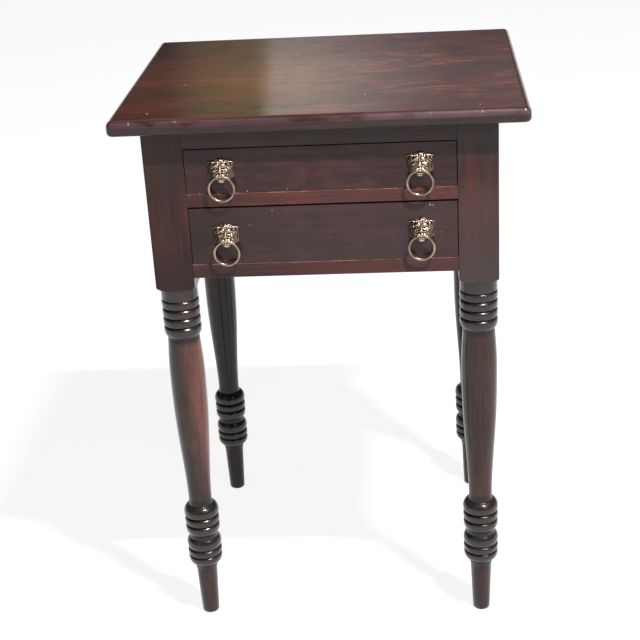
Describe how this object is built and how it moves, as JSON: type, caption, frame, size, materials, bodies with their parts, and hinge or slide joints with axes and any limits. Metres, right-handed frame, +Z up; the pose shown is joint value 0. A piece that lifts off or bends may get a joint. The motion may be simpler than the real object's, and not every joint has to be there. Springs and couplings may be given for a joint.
{
  "type": "work table",
  "caption": "Small dark mahogany work table with drawers between square posts, turned tapering legs and cast lion mask ring pulls.",
  "frame": {"origin": "on the floor, under the middle of the table", "axes": "+X to the right seen from the front, +Y to the back, +Z up"},
  "size_m": [0.51, 0.432, 0.73],
  "materials": {
    "top_mahogany": "french polished, glossy",
    "leg_mahogany": "french polished, glossy",
    "rail_mahogany": "french polished, satin",
    "drawer_mahogany": "french polished, satin",
    "panel_mahogany": "french polished, satin",
    "pine": "bare, aged",
    "mask_brass": "cast, polished on the high parts, dark in the hollows",
    "ring_brass": "polished, lightly tarnished",
    "plain_brass": "dull",
    "iron": "dark, dull"
  },
  "bodies": {
    "carcase": {"table_top": "top_mahogany", "leg_front_left": "leg_mahogany", "leg_front_right": "leg_mahogany", "leg_back_left": "leg_mahogany", "leg_back_right": "leg_mahogany", "side_panel_left": "panel_mahogany", "side_panel_right": "panel_mahogany", "back_panel": "panel_mahogany", "top_rail": "rail_mahogany", "middle_rail": "rail_mahogany", "bottom_rail": "rail_mahogany", "upper_runner_left": "pine", "upper_runner_right": "pine", "lower_runner_left": "pine", "lower_runner_right": "pine", "upper_guide_left": "pine", "upper_guide_right": "pine", "lower_guide_left": "pine", "lower_guide_right": "pine", "kicker_left": "pine", "kicker_right": "pine", "upper_stops": "pine", "lower_stops": "pine", "top_screws": "iron", "glue_blocks": "pine"},
    "upper_drawer": {"upper_drawer_front": "drawer_mahogany", "upper_drawer_side_left": "pine", "upper_drawer_side_right": "pine", "upper_drawer_back": "pine", "upper_drawer_bottom": "pine", "upper_bottom_nails": "iron", "upper_mask_left": "mask_brass", "upper_mask_right": "mask_brass", "upper_pull_studs": "plain_brass", "upper_pull_washers": "plain_brass", "upper_pull_nuts": "plain_brass"},
    "upper_ring_left": {"upper_ring_left": "ring_brass"},
    "upper_ring_right": {"upper_ring_right": "ring_brass"},
    "lower_drawer": {"lower_drawer_front": "drawer_mahogany", "lower_drawer_side_left": "pine", "lower_drawer_side_right": "pine", "lower_drawer_back": "pine", "lower_drawer_bottom": "pine", "lower_bottom_nails": "iron", "lower_mask_left": "mask_brass", "lower_mask_right": "mask_brass", "lower_pull_studs": "plain_brass", "lower_pull_washers": "plain_brass", "lower_pull_nuts": "plain_brass"},
    "lower_ring_left": {"lower_ring_left": "ring_brass"},
    "lower_ring_right": {"lower_ring_right": "ring_brass"}
  },
  "joints": [
    {"name": "upper_drawer_slide", "type": "slide", "parent": "carcase", "child": "upper_drawer", "axis": [0, -1, 0], "range_m": [0, 0.3]},
    {"name": "lower_drawer_slide", "type": "slide", "parent": "carcase", "child": "lower_drawer", "axis": [0, -1, 0], "range_m": [0, 0.3]},
    {"name": "upper_ring_left_swing", "type": "hinge", "parent": "upper_drawer", "child": "upper_ring_left", "pos_m": [-0.1215, -0.204, 0.65355], "axis": [-1, 0, 0], "range_deg": [0, 120]},
    {"name": "upper_ring_right_swing", "type": "hinge", "parent": "upper_drawer", "child": "upper_ring_right", "pos_m": [0.1215, -0.204, 0.65355], "axis": [-1, 0, 0], "range_deg": [0, 120]},
    {"name": "lower_ring_left_swing", "type": "hinge", "parent": "lower_drawer", "child": "lower_ring_left", "pos_m": [-0.1215, -0.204, 0.56905], "axis": [-1, 0, 0], "range_deg": [0, 120]},
    {"name": "lower_ring_right_swing", "type": "hinge", "parent": "lower_drawer", "child": "lower_ring_right", "pos_m": [0.1215, -0.204, 0.56905], "axis": [-1, 0, 0], "range_deg": [0, 120]}
  ]
}
